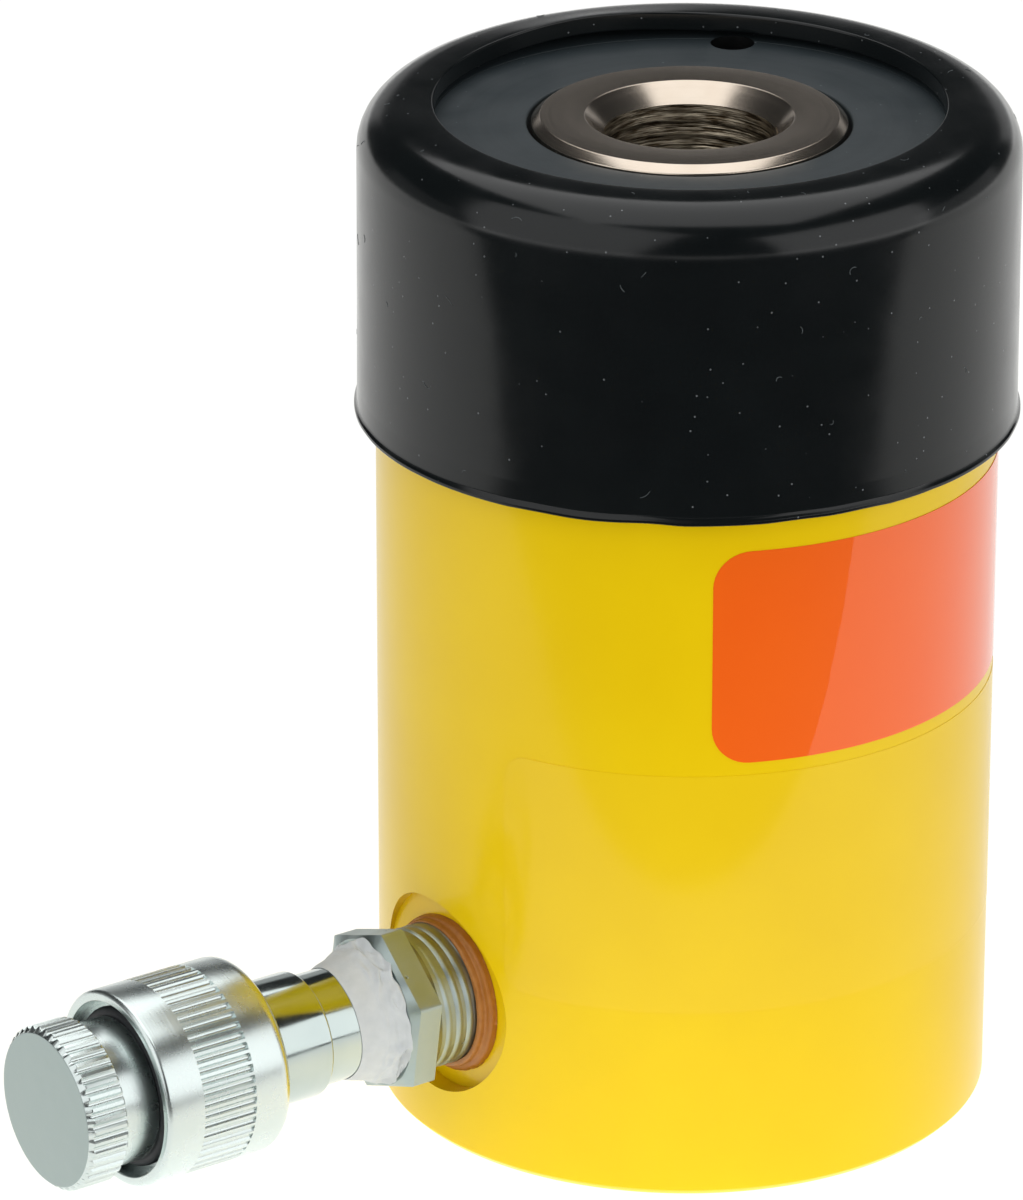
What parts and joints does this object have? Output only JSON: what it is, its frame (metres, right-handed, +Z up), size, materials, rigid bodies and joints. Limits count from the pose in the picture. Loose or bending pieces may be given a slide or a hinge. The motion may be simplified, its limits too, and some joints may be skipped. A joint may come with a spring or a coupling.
{
  "type": "hollow plunger hydraulic cylinder",
  "caption": "Short hollow plunger hydraulic cylinder with spring return, a threaded plunger end, a collar thread cover and a screw coupler with its dust plug at the port.",
  "frame": {"origin": "centre of the base face, on the centre hole's axis", "axes": "+Z up the plunger, coupler along -X, mounting holes along Y"},
  "size_m": [0.1236, 0.0746, 0.1174],
  "materials": {
    "yellow_enamel": "glossy enamel over turned steel",
    "black_vinyl": "dipped vinyl, glossy",
    "black_oxide": "black oxide, satin",
    "plated_steel": "nickel plated and turned",
    "ground_steel": "ground and honed",
    "zinc_plate": "bright zinc plate",
    "spring_steel": "oil tempered wire",
    "bearing_bronze": "sintered bronze",
    "valve_brass": "turned brass",
    "seal_rubber": "moulded nitrile",
    "blue_urethane": "moulded urethane",
    "backup_ptfe": "cut from filled PTFE",
    "brown_sealant": "set pipe sealant",
    "white_paste": "dried sealing paste"
  },
  "bodies": {
    "cylinder": {"cylinder_body": "yellow_enamel", "center_tube": "ground_steel", "tube_seal": "seal_rubber", "tube_backup_ring": "backup_ptfe", "stop_ring": "black_oxide", "plunger_bush": "bearing_bronze", "wiper_ring": "seal_rubber", "lock_screw": "black_oxide", "return_spring": "spring_steel", "port_adaptor": "zinc_plate", "port_sealant": "brown_sealant", "thread_sealant": "white_paste", "coupler_body": "zinc_plate", "nose_seal": "seal_rubber", "sleeve_clip": "spring_steel", "valve_guide": "valve_brass", "valve_spring": "spring_steel"},
    "plunger": {"plunger": "plated_steel", "piston_seal": "blue_urethane", "piston_backup_ring": "backup_ptfe", "piston_wear_ring": "bearing_bronze", "inner_seal": "blue_urethane", "inner_backup_ring": "backup_ptfe", "inner_wear_ring": "bearing_bronze"},
    "thread_protector": {"thread_protector": "black_vinyl"},
    "valve_poppet": {"valve_poppet": "valve_brass"},
    "coupler_sleeve": {"coupler_sleeve": "zinc_plate"},
    "plug_seal": {"plug_seal": "seal_rubber"},
    "dust_plug": {"dust_plug": "zinc_plate"}
  },
  "joints": [
    {"name": "plunger_extend", "type": "slide", "parent": "cylinder", "child": "plunger", "axis": [0, 0, 1], "range_m": [0, 0.0413], "stiffness_N_per_m": 6000, "springref_m": -0.02, "deforming": ["return_spring"]},
    {"name": "cover_lift", "type": "slide", "parent": "cylinder", "child": "thread_protector", "axis": [0, 0, 1], "range_m": [0, 0.045]},
    {"name": "valve_press", "type": "slide", "parent": "cylinder", "child": "valve_poppet", "axis": [1, 0, 0], "range_m": [0, 0.003], "stiffness_N_per_m": 800, "springref_m": -0.003, "deforming": ["valve_spring"]},
    {"name": "sleeve_spin", "type": "hinge", "parent": "cylinder", "child": "coupler_sleeve", "pos_m": [-0.069, 0, 0.0182], "axis": [-1, 0, 0], "continuous": true},
    {"name": "plug_draw", "type": "slide", "parent": "coupler_sleeve", "child": "plug_seal", "axis": [-1, 0, 0], "range_m": [0, 0.006]},
    {"name": "plug_turn", "type": "hinge", "parent": "plug_seal", "child": "dust_plug", "pos_m": [-0.084, 0, 0.0182], "axis": [-1, 0, 0], "range_deg": [0, 1440]}
  ],
  "couplings": [
    {"joint": "plug_turn", "follows": "plug_draw", "rad_per_m": 4188.8}
  ]
}
